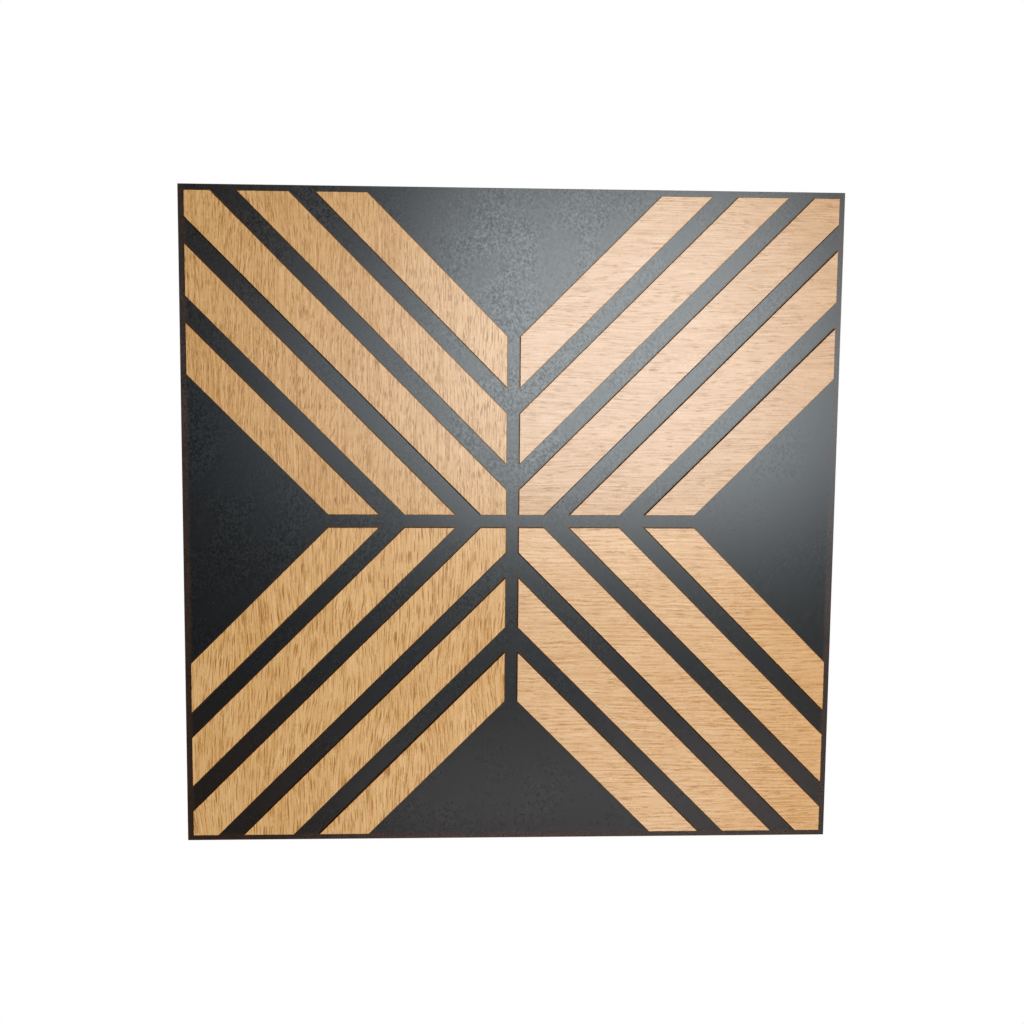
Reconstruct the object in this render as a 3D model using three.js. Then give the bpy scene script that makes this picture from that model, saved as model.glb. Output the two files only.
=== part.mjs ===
import * as THREE from "three";

// Square wall panel: oak-veneered slats glued to a black backing board, in four mirrored fans of
// parallel slats at 45 degrees.
// Millimetres, +Z up. The panel hangs in the XZ plane and faces -Y. The origin is the middle of
// its back face, where it meets the wall.

// Backing board
const panelSide = 500;
const boardThickness = 3;

// Slats
const slatWidth = 27;
const slatThickness = 3;
const slatSpacing = 14; // board left showing between two parallel slats
const slatsBesideDiagonal = 2; // on either side of each quadrant's diagonal slat

// Layout of the slats on the board
const borderWidth = 5; // board left showing around the edge
const crossWidth = 10; // board left showing in the upright and the level band through the centre
const glueFilm = 0.2; // between the board and the back of a slat

const blackLacquer = { color: 0x2b2c2e, roughness: 0.45, metalness: 0 };
const oakVeneer = { color: 0xcda375, roughness: 0.55, metalness: 0 };

const quadrants = [
  { name: "upper_left", right: -1, up: 1 },
  { name: "upper_right", right: 1, up: 1 },
  { name: "lower_left", right: -1, up: -1 },
  { name: "lower_right", right: 1, up: -1 },
];

// The part of a convex outline that lies no further than reach along a unit direction.
function trimmed(outline, direction, reach) {
  const kept = [];
  outline.forEach((corner, i) => {
    const next = outline[(i + 1) % outline.length];
    const over = corner.dot(direction) - reach;
    const nextOver = next.dot(direction) - reach;
    if (over <= 0) kept.push(corner);
    if (over * nextOver < 0) {
      kept.push(corner.clone().lerp(next, over / (over - nextOver)));
    }
  });
  return kept;
}

// One slat's outline in the upper right quadrant, with the panel's centre at (0, 0). Place 0 is
// the slat on the quadrant's diagonal, and positive places lie above it.
function slatOutline(place) {
  const inner = crossWidth / 2;
  const outer = panelSide / 2 - borderWidth;
  const field = [
    new THREE.Vector2(inner, inner),
    new THREE.Vector2(outer, inner),
    new THREE.Vector2(outer, outer),
    new THREE.Vector2(inner, outer),
  ];
  const across = new THREE.Vector2(-1, 1).normalize();
  const centreLine = place * (slatWidth + slatSpacing);
  const belowTop = trimmed(field, across, centreLine + slatWidth / 2);
  return trimmed(belowTop, across.clone().negate(), slatWidth / 2 - centreLine);
}

function backingBoard() {
  const board = new THREE.Mesh(
    new THREE.BoxGeometry(panelSide, panelSide, boardThickness),
    new THREE.MeshStandardMaterial(blackLacquer),
  );
  board.name = "backing_board";
  board.position.z = boardThickness / 2;
  return board;
}

function slat(quadrant, place) {
  const outline = slatOutline(place).map(
    (corner) => new THREE.Vector2(quadrant.right * corner.x, quadrant.up * corner.y),
  );
  const mesh = new THREE.Mesh(
    new THREE.ExtrudeGeometry(new THREE.Shape(outline), {
      depth: slatThickness,
      bevelEnabled: false,
    }),
    new THREE.MeshStandardMaterial(oakVeneer),
  );
  const number = slatsBesideDiagonal - place + 1; // counted from the middle of the top or bottom edge
  mesh.name = `slat_${quadrant.name}_${number}`;
  mesh.position.z = boardThickness + glueFilm;
  return mesh;
}

// Inside the layers group x is to the right, y is up and z counts outwards from the wall.
const layers = new THREE.Group();
layers.rotation.x = Math.PI / 2;
layers.add(backingBoard());
for (const quadrant of quadrants) {
  for (let place = slatsBesideDiagonal; place >= -slatsBesideDiagonal; place -= 1) {
    layers.add(slat(quadrant, place));
  }
}

const panel = new THREE.Group();
panel.add(layers);

export default panel;
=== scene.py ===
import math

import bmesh
import bpy
from mathutils import Matrix, Vector


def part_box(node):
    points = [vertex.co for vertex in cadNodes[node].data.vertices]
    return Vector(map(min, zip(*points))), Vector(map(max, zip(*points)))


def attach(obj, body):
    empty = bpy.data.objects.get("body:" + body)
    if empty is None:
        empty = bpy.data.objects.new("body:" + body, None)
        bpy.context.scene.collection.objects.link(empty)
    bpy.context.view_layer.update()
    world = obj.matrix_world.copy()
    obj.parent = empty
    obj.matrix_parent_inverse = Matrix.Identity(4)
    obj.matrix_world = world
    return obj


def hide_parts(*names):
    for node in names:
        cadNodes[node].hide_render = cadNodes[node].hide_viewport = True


# Square wall panel: oak-veneered slats glued to a black backing board.
# It hangs in the XZ plane and faces -Y. Sizes are metres, unless a name ends in Mm.

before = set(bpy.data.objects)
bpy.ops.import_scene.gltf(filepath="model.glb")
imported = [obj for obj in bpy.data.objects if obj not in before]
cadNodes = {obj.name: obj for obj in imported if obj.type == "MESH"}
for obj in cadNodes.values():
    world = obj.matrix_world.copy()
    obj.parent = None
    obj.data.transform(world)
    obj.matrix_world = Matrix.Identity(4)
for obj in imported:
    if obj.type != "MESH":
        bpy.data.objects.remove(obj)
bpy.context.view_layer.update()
print("frame loaded with", len(cadNodes), "nodes")


# Helpers for shader trees

def addNode(tree, kind, sockets=None, **settings):
    node = tree.nodes.new("ShaderNode" + kind)
    for name, value in settings.items():
        setattr(node, name, value)
    plug(tree, node, sockets or {})
    return node


def plug(tree, node, sockets):
    for socket, value in sockets.items():
        if isinstance(value, bpy.types.NodeSocket):
            tree.links.new(value, node.inputs[socket])
        else:
            node.inputs[socket].default_value = value


def calc(tree, operation, first, second=0.0, third=0.0):
    return addNode(tree, "Math", {0: first, 1: second, 2: third}, operation=operation).outputs[0]


def remap(tree, value, low, high, toLow=0.0, toHigh=1.0):
    sockets = {"Value": value, "From Min": low, "From Max": high, "To Min": toLow, "To Max": toHigh}
    return addNode(tree, "MapRange", sockets, interpolation_type="SMOOTHSTEP").outputs["Result"]


def mixColours(tree, factor, first, second, blend="MIX"):
    # sockets 0, 6 and 7 are the factor and the two colours, and output 2 is the mixed colour
    sockets = {0: factor, 6: first, 7: second}
    return addNode(tree, "Mix", sockets, data_type="RGBA", blend_type=blend).outputs[2]


def stretch(tree, place, sizesMm):
    # a pattern on the result has features of these sizes
    scales = [1000 / size for size in sizesMm]
    return addNode(tree, "VectorMath", {0: place, 1: scales}, operation="MULTIPLY").outputs[0]


def noise(tree, place, sizesMm, detail=1.0, roughness=0.5):
    sockets = {
        "Vector": stretch(tree, place, sizesMm),
        "Scale": 1.0,
        "Detail": detail,
        "Roughness": roughness,
    }
    return addNode(tree, "TexNoise", sockets, noise_dimensions="3D").outputs["Fac"]


def bump(tree, height, strength, depth):
    sockets = {"Height": height, "Strength": strength, "Distance": depth}
    return addNode(tree, "Bump", sockets).outputs["Normal"]


def newGroup(name, inputs, outputs):
    tree = bpy.data.node_groups.new(name, "ShaderNodeTree")
    for label, kind in inputs:
        tree.interface.new_socket(label, in_out="INPUT", socket_type="NodeSocket" + kind)
    for label, kind in outputs:
        tree.interface.new_socket(label, in_out="OUTPUT", socket_type="NodeSocket" + kind)
    given = tree.nodes.new("NodeGroupInput").outputs
    result = tree.nodes.new("NodeGroupOutput")
    return tree, given, result


def useGroup(tree, group, sockets):
    return addNode(tree, "Group", sockets, node_tree=group).outputs


def newMaterial(name):
    material = bpy.data.materials.new(name)
    material.use_nodes = True
    tree = material.node_tree
    return material, tree, tree.nodes["Principled BSDF"]


def objectPlace(tree):
    return addNode(tree, "TexCoord").outputs["Object"]


# Shader groups that several finishes share

def poreLayer(tree, place, sizesMm, share, zone):
    # one cell in so many holds a pore, a thin dash along the grain
    cells = addNode(
        tree,
        "TexVoronoi",
        {"Vector": stretch(tree, place, sizesMm), "Scale": 1.0, "Randomness": 0.9},
        voronoi_dimensions="2D",
    )
    luck = addNode(tree, "SeparateColor", {"Color": cells.outputs["Color"]})
    chosen = calc(tree, "LESS_THAN", luck.outputs["Red"], calc(tree, "MULTIPLY", share, zone))
    dash = remap(tree, cells.outputs["Distance"], *grainRanges["poreDash"])
    depth = remap(tree, luck.outputs["Green"], *grainRanges["poreDepth"])
    return calc(tree, "MULTIPLY", calc(tree, "MULTIPLY", chosen, dash), depth)


# Feature sizes: across the grain, along it and through the sheet
grainMm = {
    "bend": (60, 110, 60),
    "rings": (7, 120, 7),
    "streaks": (4.5, 60, 4.5),
    "patches": (22, 70, 22),
    "longLines": (1.0, 60, 1.0),
    "middleLines": (1.05, 13, 1.05),
    "shortLines": (1.0, 2.4, 1.0),
    "clearness": (8, 32, 8),
    "ripple": 3.1,
    "rippleDrift": (14, 90, 14),
    "poreLean": (120, 170, 120),
    "poreCrowds": (14, 30, 14),
    "poreDashes": (1.1, 10, 1),
    "poreThreads": (0.85, 12, 0.85),
}
grainStrengths = {
    "streaks": 0.25,
    "patches": 0.4,
    "longLines": 1.3,  # against 1 for the middle ones
    "shortLines": 0.7,
    "rippleDrift": 9.0,
    "poreLean": 2.2,  # against the lines' own wander
    "poreThreads": 0.6,  # against 1 for the dashes
}
# A range gives the low and high input, and then what they become if that isn't 0 and 1
grainRanges = {
    "rings": (0.36, 0.64),
    "clearness": (0.36, 0.64, 0.65, 1.25),
    "earlyWood": (1.0, 0.0, 0.8, 1.15),
    "poreCrowds": (0.36, 0.62, 0.75, 1.2),
    "poreDash": (0.38, 0.12),
    "poreDepth": (0.0, 1.0, 0.35, 1.0),
    "poreThreads": (0.62, 0.78),
}


def makeOakGrain():
    # Sheet is the place in the veneer: X across the grain, Y along it
    tree, given, result = newGroup(
        "oakGrain",
        [
            ("Sheet", "Vector"), ("Wander", "Float"), ("Lines", "Float"), ("Ripple", "Float"),
            ("Pore Share", "Float"), ("Pore Length", "Float"), ("Figure", "Float"),
        ],
        [("Tone", "Float"), ("Pores", "Float"), ("Fibre", "Float")],
    )
    sheet = given["Sheet"]
    bend = calc(tree, "SUBTRACT", noise(tree, sheet, grainMm["bend"]), 0.5)
    shift = addNode(tree, "CombineXYZ", {"X": calc(tree, "MULTIPLY", bend, given["Wander"])})
    grain = addNode(tree, "VectorMath", {0: sheet, 1: shift.outputs[0]}, operation="ADD").outputs[0]

    rings = remap(tree, noise(tree, grain, grainMm["rings"], 2.0), *grainRanges["rings"])
    streaks = noise(tree, grain, grainMm["streaks"], 1.0)
    patch = noise(tree, sheet, grainMm["patches"], 1.0)
    longLines = calc(tree, "SUBTRACT", noise(tree, grain, grainMm["longLines"], 0.0), 0.5)
    middleLines = calc(tree, "SUBTRACT", noise(tree, grain, grainMm["middleLines"], 0.0), 0.5)
    shortLines = calc(tree, "SUBTRACT", noise(tree, grain, grainMm["shortLines"], 0.0), 0.5)
    lines = calc(tree, "MULTIPLY_ADD", longLines, grainStrengths["longLines"], middleLines)
    lines = calc(tree, "MULTIPLY_ADD", shortLines, grainStrengths["shortLines"], lines)
    clear = noise(tree, grain, grainMm["clearness"], 1.0)
    lines = calc(tree, "MULTIPLY", lines, remap(tree, clear, *grainRanges["clearness"]))

    # a faint even ripple, as the knife leaves it in sliced veneer
    across = addNode(tree, "SeparateXYZ", {0: grain}).outputs["X"]
    drift = noise(tree, grain, grainMm["rippleDrift"], 1.0)
    drift = calc(tree, "MULTIPLY", drift, grainStrengths["rippleDrift"])
    turns = 2 * math.pi * 1000 / grainMm["ripple"]
    wave = calc(tree, "SINE", calc(tree, "MULTIPLY_ADD", across, turns, drift))
    ripple = calc(tree, "MULTIPLY", calc(tree, "MULTIPLY", wave, given["Ripple"]), patch)

    figure = calc(tree, "MULTIPLY", calc(tree, "SUBTRACT", rings, 0.5), given["Figure"])
    streaks = calc(tree, "SUBTRACT", streaks, 0.5)
    tone = calc(tree, "MULTIPLY_ADD", streaks, grainStrengths["streaks"], figure)
    tone = calc(tree, "MULTIPLY_ADD", lines, given["Lines"], tone)
    patch = calc(tree, "SUBTRACT", patch, 0.5)
    tone = calc(tree, "MULTIPLY_ADD", patch, grainStrengths["patches"], tone)
    tone = calc(tree, "ADD", tone, ripple)
    plug(tree, result, {"Tone": calc(tree, "ADD", tone, 0.5)})

    # the pores lean a little from the lines, and crowd in the early wood and in some parts
    lean = calc(tree, "SUBTRACT", noise(tree, sheet, grainMm["poreLean"], 0.0), 0.5)
    reach = calc(tree, "MULTIPLY", given["Wander"], grainStrengths["poreLean"])
    lean = calc(tree, "MULTIPLY", lean, reach)
    aside = addNode(tree, "CombineXYZ", {"X": lean}).outputs[0]
    leaning = addNode(tree, "VectorMath", {0: grain, 1: aside}, operation="ADD").outputs[0]
    longer = addNode(tree, "CombineXYZ", {"X": 1.0, "Y": given["Pore Length"], "Z": 1.0}).outputs[0]
    leaning = addNode(tree, "VectorMath", {0: leaning, 1: longer}, operation="DIVIDE").outputs[0]
    zone = remap(tree, rings, *grainRanges["earlyWood"])
    crowded = noise(tree, sheet, grainMm["poreCrowds"], 1.0)
    zone = calc(tree, "MULTIPLY", zone, remap(tree, crowded, *grainRanges["poreCrowds"]))
    dashes = poreLayer(tree, leaning, grainMm["poreDashes"], given["Pore Share"], zone)
    threads = noise(tree, leaning, grainMm["poreThreads"], 0.0)
    threads = remap(tree, threads, *grainRanges["poreThreads"])
    threads = calc(tree, "MULTIPLY", threads, zone)
    threads = calc(tree, "MULTIPLY", threads, grainStrengths["poreThreads"])
    pores = calc(tree, "MINIMUM", calc(tree, "MAXIMUM", dashes, threads), 1.0)
    plug(tree, result, {"Pores": pores, "Fibre": calc(tree, "ADD", lines, 0.5)})
    return tree


scorchSettings = {
    "raggedMm": (2.5, 2.5, 2.5),
    "raggedness": 0.8,
    "full": 1.05,  # the rim value that is burnt right through
}
pressedSettings = {
    "hairMm": (0.6, 0.6, 1.2),
    "clumpMm": (5, 5, 9),
    "cloudMm": (60, 60, 90),
    "hairs": 1.6,  # strengths, against 1 for the clumps
    "clouds": 0.4,
}
dustSettings = {
    "cellMm": (4, 4, 4),
    "speck": (0.12, 0.05),  # range over a cell's distance
}


def makeEdgeScorch():
    # Rim runs from 1 on a cut edge to 0 at the inner side of the scorched margin
    tree, given, result = newGroup(
        "edgeScorch",
        [("Place", "Vector"), ("Rim", "Float"), ("Reach", "Float")],
        [("Mask", "Float")],
    )
    ragged = calc(tree, "SUBTRACT", noise(tree, given["Place"], scorchSettings["raggedMm"], 3.0), 0.5)
    edge = calc(tree, "MULTIPLY_ADD", ragged, scorchSettings["raggedness"], given["Rim"])
    start = calc(tree, "SUBTRACT", 1.0, given["Reach"])
    plug(tree, result, {"Mask": remap(tree, edge, start, scorchSettings["full"])})
    return tree


def makePressedFibre():
    # fine matted wood fibre, as in fibreboard
    tree, given, result = newGroup("pressedFibre", [("Place", "Vector")], [("Tone", "Float")])
    hairs = noise(tree, given["Place"], pressedSettings["hairMm"], 3.0, 0.7)
    clumps = noise(tree, given["Place"], pressedSettings["clumpMm"], 3.0, 0.6)
    clouds = noise(tree, given["Place"], pressedSettings["cloudMm"], 2.0)
    hairs = calc(tree, "SUBTRACT", hairs, 0.5)
    tone = calc(tree, "MULTIPLY_ADD", hairs, pressedSettings["hairs"], clumps)
    clouds = calc(tree, "SUBTRACT", clouds, 0.5)
    tone = calc(tree, "MULTIPLY_ADD", clouds, pressedSettings["clouds"], tone)
    plug(tree, result, {"Tone": tone})
    return tree


def makeDustSpecks():
    # one cell in so many holds a speck
    tree, given, result = newGroup(
        "dustSpecks", [("Place", "Vector"), ("Share", "Float")], [("Mask", "Float")]
    )
    spots = stretch(tree, given["Place"], dustSettings["cellMm"])
    cells = addNode(tree, "TexVoronoi", {"Vector": spots, "Scale": 1.0})
    luck = addNode(tree, "SeparateColor", {"Color": cells.outputs["Color"]})
    there = calc(tree, "LESS_THAN", luck.outputs["Red"], given["Share"])
    speck = remap(tree, cells.outputs["Distance"], *dustSettings["speck"])
    plug(tree, result, {"Mask": calc(tree, "MULTIPLY", there, speck)})
    return tree


oakGrain = makeOakGrain()
edgeScorch = makeEdgeScorch()
pressedFibre = makePressedFibre()
dustSpecks = makeDustSpecks()
print("shader groups made")


# Finishes

def scorched(tree, colour, place, reach, burnt):
    rim = addNode(tree, "Attribute", attribute_name="rim").outputs["Fac"]
    mask = useGroup(tree, edgeScorch, {"Place": place, "Rim": rim, "Reach": reach})["Mask"]
    return mixColours(tree, mask, colour, burnt)


oakFinish = {
    "darkFactors": (0.80, 0.70, 0.50),  # of a veneer's middle tone
    "lightFactors": (1.13, 1.21, 1.40),
    "poreTint": (0.57, 0.44, 0.19, 1),
    "rightShadeTint": (0.92, 0.85, 0.70, 1),  # painted shade: the veneer is painted darker and yellower towards the right side, standing in for weaker sheen there
    "rightShadeRange": (0.13, 0.24),
    "burnt": (0.085, 0.030, 0.008, 1),
    "scorchReach": 0.3,
    "roughness": 0.258,
    "poreRoughness": 0.37,
    "specular": 0.4,
    "fibreHeight": 0.3,  # against the pores' depth of 1
    "bump": (0.25, 0.00005),  # strength and depth
}


def shade(colour, factors):
    return [channel * factor for channel, factor in zip(colour, factors)] + [1]


def makeOak(name, veneer):
    material, tree, shader = newMaterial(name)
    place = objectPlace(tree)
    sheet = addNode(tree, "UVMap", uv_map="veneerSheet").outputs["UV"]
    grain = useGroup(tree, oakGrain, {
        "Sheet": sheet,
        "Wander": veneer["wanderMm"] / 1000,
        "Lines": veneer["lines"],
        "Ripple": veneer["ripple"],
        "Pore Share": veneer["poreShare"],
        "Pore Length": veneer["poreLength"],
        "Figure": veneer["figure"],
    })
    shadeOfSlat = addNode(tree, "Attribute", attribute_name="slatShade").outputs["Fac"]
    tones = addNode(tree, "ValToRGB", {"Fac": calc(tree, "ADD", grain["Tone"], shadeOfSlat)})
    ramp = tones.color_ramp
    ramp.elements[0].position = 0.0
    ramp.elements[0].color = shade(veneer["tone"], oakFinish["darkFactors"])
    ramp.elements[1].position = 1.0
    ramp.elements[1].color = shade(veneer["tone"], oakFinish["lightFactors"])
    ramp.elements.new(0.5).color = veneer["tone"] + (1,)

    pores = calc(tree, "MULTIPLY", grain["Pores"], veneer["poreDark"])
    wood = mixColours(tree, pores, tones.outputs["Color"], oakFinish["poreTint"], "MULTIPLY")
    # painted shade: the veneer is painted darker and yellower towards the right side
    right = addNode(tree, "SeparateXYZ", {0: place}).outputs["X"]
    rightShade = remap(tree, right, *oakFinish["rightShadeRange"])
    wood = mixColours(tree, rightShade, wood, oakFinish["rightShadeTint"], "MULTIPLY")
    wood = scorched(tree, wood, place, oakFinish["scorchReach"], oakFinish["burnt"])
    sunken = calc(tree, "MULTIPLY", grain["Pores"], -1.0)
    height = calc(tree, "MULTIPLY_ADD", grain["Fibre"], oakFinish["fibreHeight"], sunken)
    smooth, rough = oakFinish["roughness"], oakFinish["poreRoughness"]
    plug(tree, shader, {
        "Base Color": wood,
        "Roughness": remap(tree, grain["Pores"], 0.0, 1.0, smooth, rough),
        "Specular IOR Level": oakFinish["specular"],
        "Normal": bump(tree, height, *oakFinish["bump"]),
    })
    return material


lacquerFinish = {
    "black": (0.0010, 0.0014, 0.0018, 1),
    "thinBlack": (0.0026, 0.0032, 0.0040, 1),
    "dust": (0.20, 0.20, 0.19, 1),
    "dustShare": 0.03,
    "dustDepth": 0.35,
    "burnt": (0.030, 0.014, 0.007, 1),
    "scorchReach": 0.5,
    "cornerWarmLight": (0.0082, 0.0046, 0.0030, 1),  # painted light: a warm cast painted on the black between the slats near the corners
    "cornerWarmLightRange": (0.09, 0.19),
    "stained": (0.026, 0.009, 0.002, 1),  # at the left, right and lower borders
    "stainRange": (0.2435, 0.2465),
    "stainPatchMm": (8, 8, 22),
    "stainPatches": (0.3, 0.6, 0.5, 1.0),
    "fleckMm": (1.8, 1.8, 2.2),
    "fleckPatchMm": (45, 45, 45),
    "fleckPatches": (0.38, 0.60, 0.45, 1.4),
    "rightFade": (0.02, 0.16, 1.0, 0.45),  # of the flecks, over X
    "lowerFade": (-0.07, 0.03, 0.55, 1.0),  # and over Z
    "roughness": 0.255,
    "roughnessSpread": 0.19,
    "stainRoughness": 0.03,
    "specular": 0.4,
    "sheenTint": (0.93, 1.0, 1.03, 1),
    "bump": (0.10, 0.00004),
}


def makeLacquer():
    material, tree, shader = newMaterial("blackLacquer")
    place = objectPlace(tree)
    flecks = noise(tree, place, lacquerFinish["fleckMm"], 3.0, 0.7)
    colour = mixColours(tree, flecks, lacquerFinish["black"], lacquerFinish["thinBlack"])
    specks = useGroup(tree, dustSpecks, {"Place": place, "Share": lacquerFinish["dustShare"]})["Mask"]
    specks = calc(tree, "MULTIPLY", specks, lacquerFinish["dustDepth"])
    colour = mixColours(tree, specks, colour, lacquerFinish["dust"])
    side = addNode(tree, "SeparateXYZ", {0: place}).outputs
    sideways = calc(tree, "ABSOLUTE", side["X"])
    # painted light: towards the corners the black is painted a little lighter and warmer
    corner = calc(tree, "MINIMUM", sideways, calc(tree, "ABSOLUTE", side["Z"]))
    smokeAndCornerLight = remap(tree, corner, *lacquerFinish["cornerWarmLightRange"])
    colour = mixColours(tree, smokeAndCornerLight, colour, lacquerFinish["cornerWarmLight"])
    downwards = calc(tree, "MULTIPLY", side["Z"], -1.0)
    outwards = calc(tree, "MAXIMUM", sideways, downwards)
    stain = remap(tree, outwards, *lacquerFinish["stainRange"])
    patchy = noise(tree, place, lacquerFinish["stainPatchMm"], 2.0)
    stain = calc(tree, "MULTIPLY", stain, remap(tree, patchy, *lacquerFinish["stainPatches"]))
    colour = mixColours(tree, stain, colour, lacquerFinish["stained"])
    colour = scorched(tree, colour, place, lacquerFinish["scorchReach"], lacquerFinish["burnt"])

    # the flecks come in patches, and most are up and to the left
    patches = noise(tree, place, lacquerFinish["fleckPatchMm"], 1.0)
    strength = remap(tree, patches, *lacquerFinish["fleckPatches"])
    fade = remap(tree, side["X"], *lacquerFinish["rightFade"])
    strength = calc(tree, "MULTIPLY", strength, fade)
    fade = remap(tree, side["Z"], *lacquerFinish["lowerFade"])
    strength = calc(tree, "MULTIPLY", strength, fade)
    spread = calc(tree, "MULTIPLY", strength, 2 * lacquerFinish["roughnessSpread"])
    centred = calc(tree, "SUBTRACT", flecks, 0.5)
    roughness = calc(tree, "MULTIPLY_ADD", centred, spread, lacquerFinish["roughness"])
    roughness = calc(tree, "MULTIPLY_ADD", stain, lacquerFinish["stainRoughness"], roughness)
    plug(tree, shader, {
        "Base Color": colour,
        "Roughness": roughness,
        "Specular IOR Level": lacquerFinish["specular"],
        "Specular Tint": lacquerFinish["sheenTint"],
        "Normal": bump(tree, flecks, *lacquerFinish["bump"]),
    })
    return material


edgeFinish = {
    "char": (0.016, 0.008, 0.005, 1),
    "singed": (0.130, 0.050, 0.016, 1),
    "veneer": (0.22, 0.095, 0.030, 1),
    "strokeMm": (0.45, 6.0, 0.45),
    "smokeMm": (9, 9, 9),
    "smokeStrength": 1.2,
    "charRange": (0.3, 0.8),
    "edgeRoughness": 0.8,
    "edgeSpecular": 0.05,
    "edgeBump": (0.6, 0.00008),
    "rawBoard": (0.235, 0.135, 0.070, 1),
    "darkBoard": (0.141, 0.081, 0.042, 1),
    "boardRange": (0.1, 0.9),
    "boardRoughness": 0.7,
    "boardBump": (0.4, 0.00005),
    "backScorchReach": 0.9,
    "sootyGlue": (0.056, 0.017, 0.003, 1),
    "darkGlue": (0.028, 0.0085, 0.0015, 1),
    "glueSheen": (1.0, 0.85, 0.62, 1),
    "glueLumpMm": (3, 3, 3),
    "glueBump": (0.15, 0.0001),
}


def makeCutEdge(name, light):
    # laser strokes run across the thickness, along Y
    material, tree, shader = newMaterial(name)
    place = objectPlace(tree)
    strokes = noise(tree, place, edgeFinish["strokeMm"], 2.0, 0.6)
    smokeAndCornerLight = calc(tree, "SUBTRACT", noise(tree, place, edgeFinish["smokeMm"], 2.0), 0.5)
    tone = calc(tree, "MULTIPLY_ADD", smokeAndCornerLight, edgeFinish["smokeStrength"], strokes)
    tone = remap(tree, tone, *edgeFinish["charRange"])
    plug(tree, shader, {
        "Base Color": mixColours(tree, tone, edgeFinish["char"], light),
        "Roughness": edgeFinish["edgeRoughness"],
        "Specular IOR Level": edgeFinish["edgeSpecular"],
        "Normal": bump(tree, strokes, *edgeFinish["edgeBump"]),
    })
    return material


def makeRawBoard():
    material, tree, shader = newMaterial("rawFibreboard")
    place = objectPlace(tree)
    fibre = useGroup(tree, pressedFibre, {"Place": place})["Tone"]
    light = remap(tree, fibre, *edgeFinish["boardRange"])
    colour = mixColours(tree, light, edgeFinish["darkBoard"], edgeFinish["rawBoard"])
    colour = scorched(tree, colour, place, edgeFinish["backScorchReach"], edgeFinish["char"])
    plug(tree, shader, {
        "Base Color": colour,
        "Roughness": edgeFinish["boardRoughness"],
        "Normal": bump(tree, fibre, *edgeFinish["boardBump"]),
    })
    return material


def makeGlue():
    # the glue line at a slat's foot, brown from the soot of the cut
    material, tree, shader = newMaterial("driedGlue")
    lumps = noise(tree, objectPlace(tree), edgeFinish["glueLumpMm"], 2.0)
    plug(tree, shader, {
        "Base Color": mixColours(tree, lumps, edgeFinish["darkGlue"], edgeFinish["sootyGlue"]),
        "Roughness": lacquerFinish["roughness"],
        "Specular IOR Level": lacquerFinish["specular"],
        "Specular Tint": edgeFinish["glueSheen"],
        "Normal": bump(tree, lumps, *edgeFinish["glueBump"]),
    })
    return material


# The left half's slats are cut with the grain upright, the right half's with it level.
# Lines, ripple and figure are strengths, and poreShare is the share of cells that hold a pore.
veneers = {
    "upper_left": {
        "upright": True,
        "tone": (0.600, 0.340, 0.125),
        "wanderMm": 12,
        "lines": 1.1,
        "ripple": 0.10,
        "figure": 0.08,
        "poreShare": 0.46,
        "poreLength": 1.0,
        "poreDark": 1.5,
    },
    "lower_left": {
        "upright": True,
        "tone": (0.657, 0.383, 0.149),
        "wanderMm": 19,
        "lines": 0.95,
        "ripple": 0.10,
        "figure": 0.10,
        "poreShare": 0.24,
        "poreLength": 1.5,
        "poreDark": 3.0,
    },
    "upper_right": {
        "upright": False,
        "tone": (0.592, 0.358, 0.182),
        "wanderMm": 9,
        "lines": 0.90,
        "ripple": 0.05,
        "figure": 0.10,
        "poreShare": 0.18,
        "poreLength": 1.1,
        "poreDark": 0.7,
    },
    "lower_right": {
        "upright": False,
        "tone": (0.690, 0.427, 0.215),
        "wanderMm": 7,
        "lines": 0.80,
        "ripple": 0.25,
        "figure": 0.10,
        "poreShare": 0.26,
        "poreLength": 1.1,
        "poreDark": 0.9,
    },
}
oaks = {name: makeOak("oak_" + name, veneer) for name, veneer in veneers.items()}
blackLacquer = makeLacquer()
coreEdge = makeCutEdge("scorchedCore", edgeFinish["singed"])
veneerEdge = makeCutEdge("scorchedVeneer", edgeFinish["veneer"])
rawFibreboard = makeRawBoard()
driedGlue = makeGlue()
print("finishes made")


# Helpers for pieces

front = Vector((0, -1, 0))
back = Vector((0, 1, 0))
tolerance = 0.00001


def mergedCopy(nodeName):
    # the CAD node's faces come as loose triangles, so they are joined into flat sides first
    bm = bmesh.new()
    bm.from_mesh(cadNodes[nodeName].data)
    bmesh.ops.remove_doubles(bm, verts=bm.verts, dist=tolerance)
    bmesh.ops.dissolve_limit(bm, angle_limit=math.radians(1), verts=bm.verts, edges=bm.edges)
    return bm


def sideFacing(bm, direction):
    return max((f for f in bm.faces if f.normal.dot(direction) > 0.9), key=lambda f: f.calc_area())


def markMargin(bm, face, width):
    # a narrow ring around the face: its rim value fades from the cut edge inwards
    bmesh.ops.inset_region(bm, faces=[face], thickness=width, use_even_offset=True)
    rim = bm.verts.layers.float["rim"]
    for vert in face.verts:
        vert[rim] = 0.0


def finishPiece(bm, name, nodeName, materials):
    mesh = bpy.data.meshes.new(name)
    bm.to_mesh(mesh)
    bm.free()
    for material in materials:
        mesh.materials.append(material)
    piece = bpy.data.objects.new(name, mesh)
    bpy.context.scene.collection.objects.link(piece)
    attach(piece, "root")
    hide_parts(nodeName)


# Backing board

boardSettings = {
    "edgeRounding": 0.00025,
    "scorchMargin": 0.0012,
    "backMargin": 0.006,
}


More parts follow.
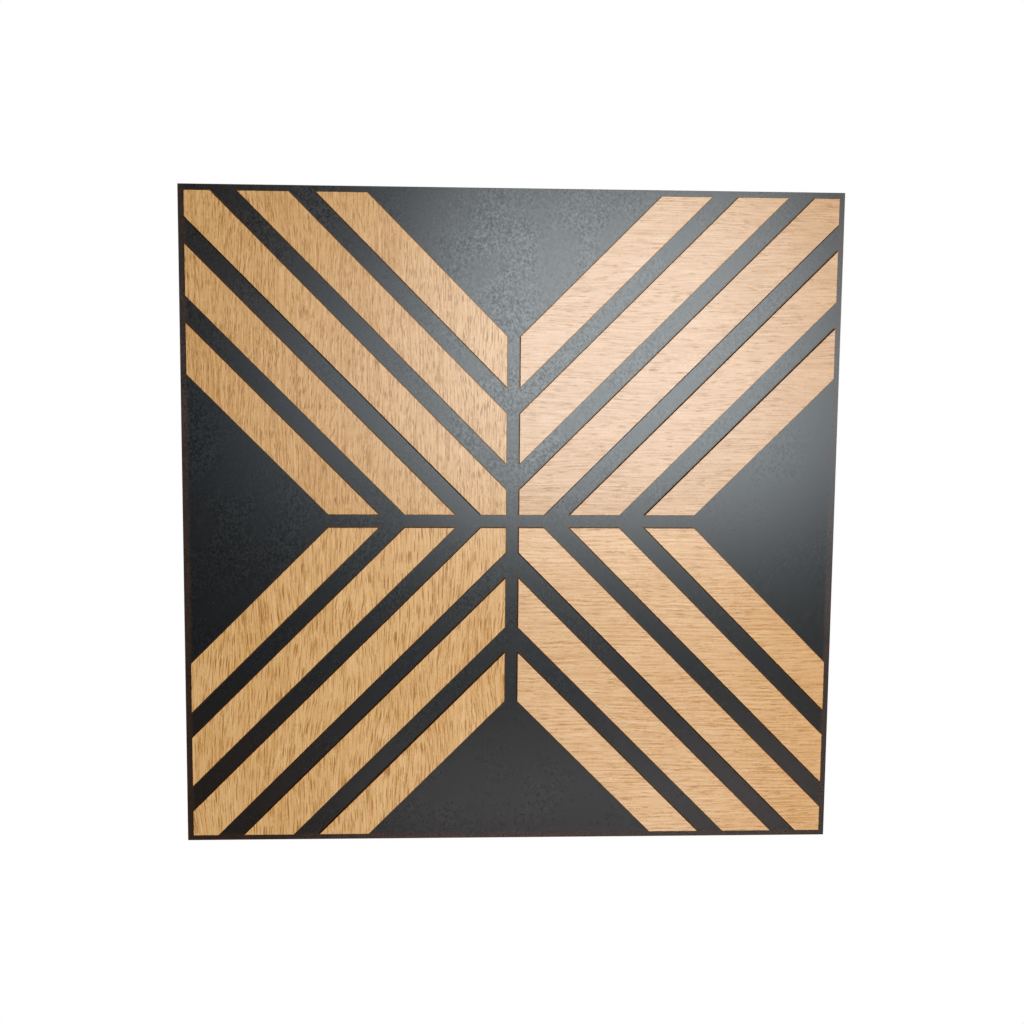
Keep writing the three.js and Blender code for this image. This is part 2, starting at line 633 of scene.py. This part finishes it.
def buildBoard():
    bm = mergedCopy("backing_board")
    rim = bm.verts.layers.float.new("rim")
    bmesh.ops.bevel(
        bm, geom=bm.edges[:], offset=boardSettings["edgeRounding"], affect="EDGES",
        segments=2, profile=0.5, material=-1,
    )
    for vert in bm.verts:
        vert[rim] = 1.0
    markMargin(bm, sideFacing(bm, front), boardSettings["scorchMargin"])
    markMargin(bm, sideFacing(bm, back), boardSettings["backMargin"])
    finishes = [blackLacquer, coreEdge, rawFibreboard]
    for face in bm.faces:
        if face.normal.dot(front) > 0.5:
            finish = blackLacquer
        elif face.normal.dot(back) > 0.5:
            finish = rawFibreboard
        else:
            finish = coreEdge
        face.material_index = finishes.index(finish)
    finishPiece(bm, "blackBoard", "backing_board", finishes)


# Slats

slatSettings = {
    "perQuadrant": 5,
    "edgeRounding": 0.00012,
    "scorchMargin": 0.0005,
    "veneerThickness": 0.0006,
    "edgeFlare": 0.00012,  # the laser leaves the foot of a cut edge a little wider
    "glueLine": 0.0008,  # squeezed out past the foot
    "sheetStep": (0.083, 0.37),  # from one slat's place in the veneer sheet to the next
    "shadeSpread": 0.10,
    "shadeStep": 0.618,  # the golden ratio spreads the slats' shades evenly
}


def widen(face, width):
    # moves each side of a flat face outwards by the same width
    moves = []
    for loop in face.loops:
        moves.append((loop.vert, loop.calc_tangent() * (width / math.sin(loop.calc_angle() / 2))))
    for vert, move in moves:
        vert.co -= move


def extruded(bm, face):
    # the edges are given too, so that the old face goes and the piece stays closed
    parts = bmesh.ops.extrude_face_region(bm, geom=[face] + face.edges[:])["geom"]
    return next(part for part in parts if isinstance(part, bmesh.types.BMFace))


def laySheet(bm, upright, place):
    # maps the slat's face onto its own place in the veneer sheet
    sheet = bm.loops.layers.uv.new("veneerSheet")
    for face in bm.faces:
        for loop in face.loops:
            x, z = loop.vert.co.x, loop.vert.co.z
            across, along = (x, z) if upright else (z, x)
            loop[sheet].uv = (across + place[0], along + place[1])


def buildSlat(nodeName, quadrant, number, cut):
    bm = mergedCopy(nodeName)
    rim = bm.verts.layers.float.new("rim")
    low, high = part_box(nodeName)
    face = sideFacing(bm, front)
    bmesh.ops.bevel(
        bm, geom=face.edges[:], offset=slatSettings["edgeRounding"], affect="EDGES",
        segments=2, profile=0.5, material=-1,
    )
    everything = bm.verts[:] + bm.edges[:] + bm.faces[:]
    veneerBack = low.y + slatSettings["veneerThickness"]
    bmesh.ops.bisect_plane(bm, geom=everything, plane_co=(0, veneerBack, 0), plane_no=(0, 1, 0))
    for vert in bm.verts:
        vert[rim] = 1.0
    markMargin(bm, sideFacing(bm, front), slatSettings["scorchMargin"])

    # the glue film fills the gap to the board and shows as a line around the foot
    foot = sideFacing(bm, back)
    widen(foot, slatSettings["edgeFlare"])
    film = extruded(bm, foot)
    widen(film, slatSettings["glueLine"])
    pressed = extruded(bm, film)
    for vert in pressed.verts:
        vert.co.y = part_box("backing_board")[0].y
    bm.normal_update()

    shadeLayer = bm.verts.layers.float.new("slatShade")
    luck = cut * slatSettings["shadeStep"] % 1 - 0.5
    for vert in bm.verts:
        vert[shadeLayer] = luck * slatSettings["shadeSpread"]
    finishes = [oaks[quadrant], veneerEdge, coreEdge, driedGlue]
    for face in bm.faces:
        depth = face.calc_center_median().y
        if depth > high.y - tolerance:
            finish = driedGlue
        elif face.normal.dot(front) > 0.3:
            finish = oaks[quadrant]
        elif depth < veneerBack:
            finish = veneerEdge
        else:
            finish = coreEdge
        face.material_index = finishes.index(finish)
    upright = veneers[quadrant]["upright"]
    laySheet(bm, upright, [step * cut for step in slatSettings["sheetStep"]])
    words = quadrant.split("_")
    name = "slat" + words[0].title() + words[1].title() + str(number)
    finishPiece(bm, name, nodeName, finishes)


buildBoard()
print("board built")
cut = 0
for quadrant in veneers:
    for number in range(1, slatSettings["perQuadrant"] + 1):
        cut += 1
        buildSlat("slat_" + quadrant + "_" + str(number), quadrant, number, cut)
print("slats built:", cut)


# Studio

studioSettings = {
    "floorDrop": 1.5,  # below the panel's centre, as it hangs at eye level
    "floorSize": 40.0,
    "floorColour": (0.88, 0.85, 0.81, 1),
    "floorRoughness": 0.9,
    "backdrop": (1.0, 1.0, 1.0, 1),
    "fillColour": (0.93, 0.97, 1.0, 1),
    "fillStrength": 0.137,
}
lamps = {
    "softbox": {
        "place": (0.404, -2.0, 0.207),
        "aim": (0.404, 0, 0.207),
        "size": (0.86, 0.785),
        "watts": 27.6,
        "colour": (1, 1, 1),
    },
    "wideBox": {
        "place": (0.502, -2.0, 0.109),
        "aim": (0.502, 0, 0.109),
        "size": (1.82, 0.39),
        "watts": 9.1,
        "colour": (0.96, 1, 1.08),
    },
    "lowStrip": {
        "place": (0.365, -2.0, -0.89),
        "aim": (0.365, 0, -0.89),
        "size": (1.18, 0.05),
        "watts": 3.3,
        "colour": (1, 0.86, 0.84),
    },
    "behind": {
        "place": (0.8, 2.2, 1.0),
        "aim": (0, 0, 0),
        "size": (1.2, 1.2),
        "watts": 48.0,
        "colour": (1, 1, 1),
    },
}


def buildFloor():
    bm = bmesh.new()
    bmesh.ops.create_grid(bm, x_segments=1, y_segments=1, size=studioSettings["floorSize"] / 2)
    bmesh.ops.translate(bm, verts=bm.verts, vec=(0, 0, -studioSettings["floorDrop"]))
    mesh = bpy.data.meshes.new("floor")
    bm.to_mesh(mesh)
    bm.free()
    material, tree, shader = newMaterial("paleFloor")
    plug(tree, shader, {
        "Base Color": studioSettings["floorColour"],
        "Roughness": studioSettings["floorRoughness"],
    })
    # the camera sees the floor as white as the backdrop, while it lights the panel as pale paint
    glow = addNode(tree, "Emission", {"Color": studioSettings["backdrop"], "Strength": 1.0})
    seen = addNode(tree, "LightPath").outputs["Is Camera Ray"]
    both = addNode(tree, "MixShader", {0: seen, 1: shader.outputs[0], 2: glow.outputs[0]})
    plug(tree, tree.nodes["Material Output"], {"Surface": both.outputs[0]})
    mesh.materials.append(material)
    floor = bpy.data.objects.new("floor", mesh)
    bpy.context.scene.collection.objects.link(floor)


def buildBackdrop():
    world = bpy.data.worlds.new("studio")
    world.use_nodes = True
    tree = world.node_tree
    white = tree.nodes["Background"]
    plug(tree, white, {"Color": studioSettings["backdrop"], "Strength": 1.0})
    fill = addNode(tree, "Background", {
        "Color": studioSettings["fillColour"],
        "Strength": studioSettings["fillStrength"],
    })
    seen = addNode(tree, "LightPath").outputs["Is Camera Ray"]
    both = addNode(tree, "MixShader", {0: seen, 1: fill.outputs[0], 2: white.outputs[0]})
    plug(tree, tree.nodes["World Output"], {"Surface": both.outputs[0]})
    bpy.context.scene.world = world


def addLamp(name, settings):
    light = bpy.data.lights.new(name, "AREA")
    light.shape = "RECTANGLE"
    light.size, light.size_y = settings["size"]
    light.energy = settings["watts"]
    light.color = settings["colour"]
    lamp = bpy.data.objects.new(name, light)
    lamp.visible_camera = False
    place = Vector(settings["place"])
    lamp.rotation_euler = (Vector(settings["aim"]) - place).to_track_quat("-Z", "Y").to_euler()
    lamp.location = place
    bpy.context.scene.collection.objects.link(lamp)


cameraSettings = {
    "place": (-0.0642, -0.9519, 0.1000),
    "aim": (-0.0211, -0.0030, 0.0069),
    "rollDegrees": 0.41,
    "lensMm": 43.86,
    "shiftX": 0.0266,
}


def addCamera():
    camera = bpy.data.objects.new("camera", bpy.data.cameras.new("camera"))
    camera.data.lens = cameraSettings["lensMm"]
    camera.data.shift_x = cameraSettings["shiftX"]
    place = Vector(cameraSettings["place"])
    aim = (Vector(cameraSettings["aim"]) - place).to_track_quat("-Z", "Y").to_matrix().to_4x4()
    roll = Matrix.Rotation(math.radians(cameraSettings["rollDegrees"]), 4, "Z")
    camera.matrix_world = Matrix.Translation(place) @ aim @ roll
    bpy.context.scene.collection.objects.link(camera)
    bpy.context.scene.camera = camera


buildFloor()
buildBackdrop()
for name, settings in lamps.items():
    addLamp(name, settings)
addCamera()
bpy.context.scene.view_settings.view_transform = "Standard"
print("studio set")
